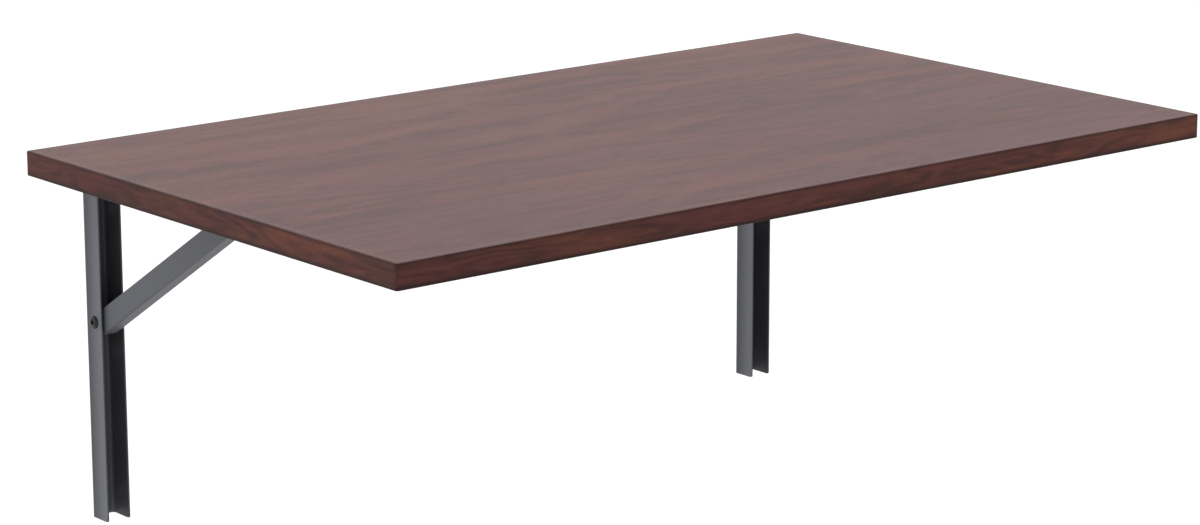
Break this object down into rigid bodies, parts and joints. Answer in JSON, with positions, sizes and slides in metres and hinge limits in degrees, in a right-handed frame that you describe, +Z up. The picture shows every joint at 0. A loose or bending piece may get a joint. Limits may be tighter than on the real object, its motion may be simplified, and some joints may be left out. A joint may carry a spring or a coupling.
{
  "type": "wall mounted drop leaf table",
  "caption": "Rectangular leaf on folding steel brackets: channels on the wall, arms hinged under the leaf and diagonal prop struts; it folds down flat against the wall.",
  "frame": {"origin": "on the wall plane, at the centre of the rectangle of the outermost wall holes", "axes": "+X along the wall to the right seen from the room, -Y out of the wall, +Z up"},
  "size_m": [1, 0.6025, 0.38],
  "materials": {
    "core_board": "raw board",
    "walnut_laminate": "satin",
    "walnut_edging": "satin",
    "bracket_paint": "satin",
    "bolt_steel": "dark plated",
    "zinc_steel": "zinc plated",
    "spring_steel": "blued",
    "nylon": "matt"
  },
  "bodies": {
    "wall_frame": {"left_wall_channel": "bracket_paint", "left_hinge_bolt": "bolt_steel", "left_hinge_nut": "zinc_steel", "left_pivot_bolt": "bolt_steel", "left_pivot_nut": "zinc_steel", "left_pivot_spacers": "nylon", "right_wall_channel": "bracket_paint", "right_hinge_bolt": "bolt_steel", "right_hinge_nut": "zinc_steel", "right_pivot_bolt": "bolt_steel", "right_pivot_nut": "zinc_steel", "right_pivot_spacers": "nylon"},
    "leaf": {"tabletop_core": "core_board", "top_laminate": "walnut_laminate", "bottom_laminate": "walnut_laminate", "front_edging": "walnut_edging", "rear_edging": "walnut_edging", "left_edging": "walnut_edging", "right_edging": "walnut_edging", "left_arm": "bracket_paint", "left_arm_screws": "zinc_steel", "left_catch_spring": "spring_steel", "left_spring_rivets": "zinc_steel", "right_arm": "bracket_paint", "right_arm_screws": "zinc_steel", "right_catch_spring": "spring_steel", "right_spring_rivets": "zinc_steel"},
    "left_prop": {"left_strut": "bracket_paint", "left_roller_pin": "zinc_steel", "left_roller_spacers": "nylon"},
    "left_roller": {"left_roller": "nylon"},
    "right_prop": {"right_strut": "bracket_paint", "right_roller_pin": "zinc_steel", "right_roller_spacers": "nylon"},
    "right_roller": {"right_roller": "nylon"}
  },
  "joints": [
    {"name": "leaf_fold", "type": "hinge", "parent": "wall_frame", "child": "leaf", "pos_m": [0, -0.0145, 0.1755], "axis": [1, 0, 0], "range_deg": [0, 90]},
    {"name": "left_strut_swing", "type": "hinge", "parent": "wall_frame", "child": "left_prop", "pos_m": [-0.425, -0.0168, 0.0375], "axis": [1, 0, 0], "range_deg": [0, 121.81], "deforming": ["left_catch_spring"]},
    {"name": "left_roller_spin", "type": "hinge", "parent": "left_prop", "child": "left_roller", "pos_m": [-0.425, -0.25516, 0.1812], "axis": [1, 0, 0], "continuous": true},
    {"name": "right_strut_swing", "type": "hinge", "parent": "wall_frame", "child": "right_prop", "pos_m": [0.425, -0.0168, 0.0375], "axis": [1, 0, 0], "range_deg": [0, 121.81], "deforming": ["right_catch_spring"]},
    {"name": "right_roller_spin", "type": "hinge", "parent": "right_prop", "child": "right_roller", "pos_m": [0.425, -0.25516, 0.1812], "axis": [1, 0, 0], "continuous": true}
  ],
  "couplings": [
    {"joint": "left_strut_swing", "follows": "leaf_fold", "ratio": 1.3534},
    {"joint": "right_strut_swing", "follows": "leaf_fold", "ratio": 1.3534}
  ]
}
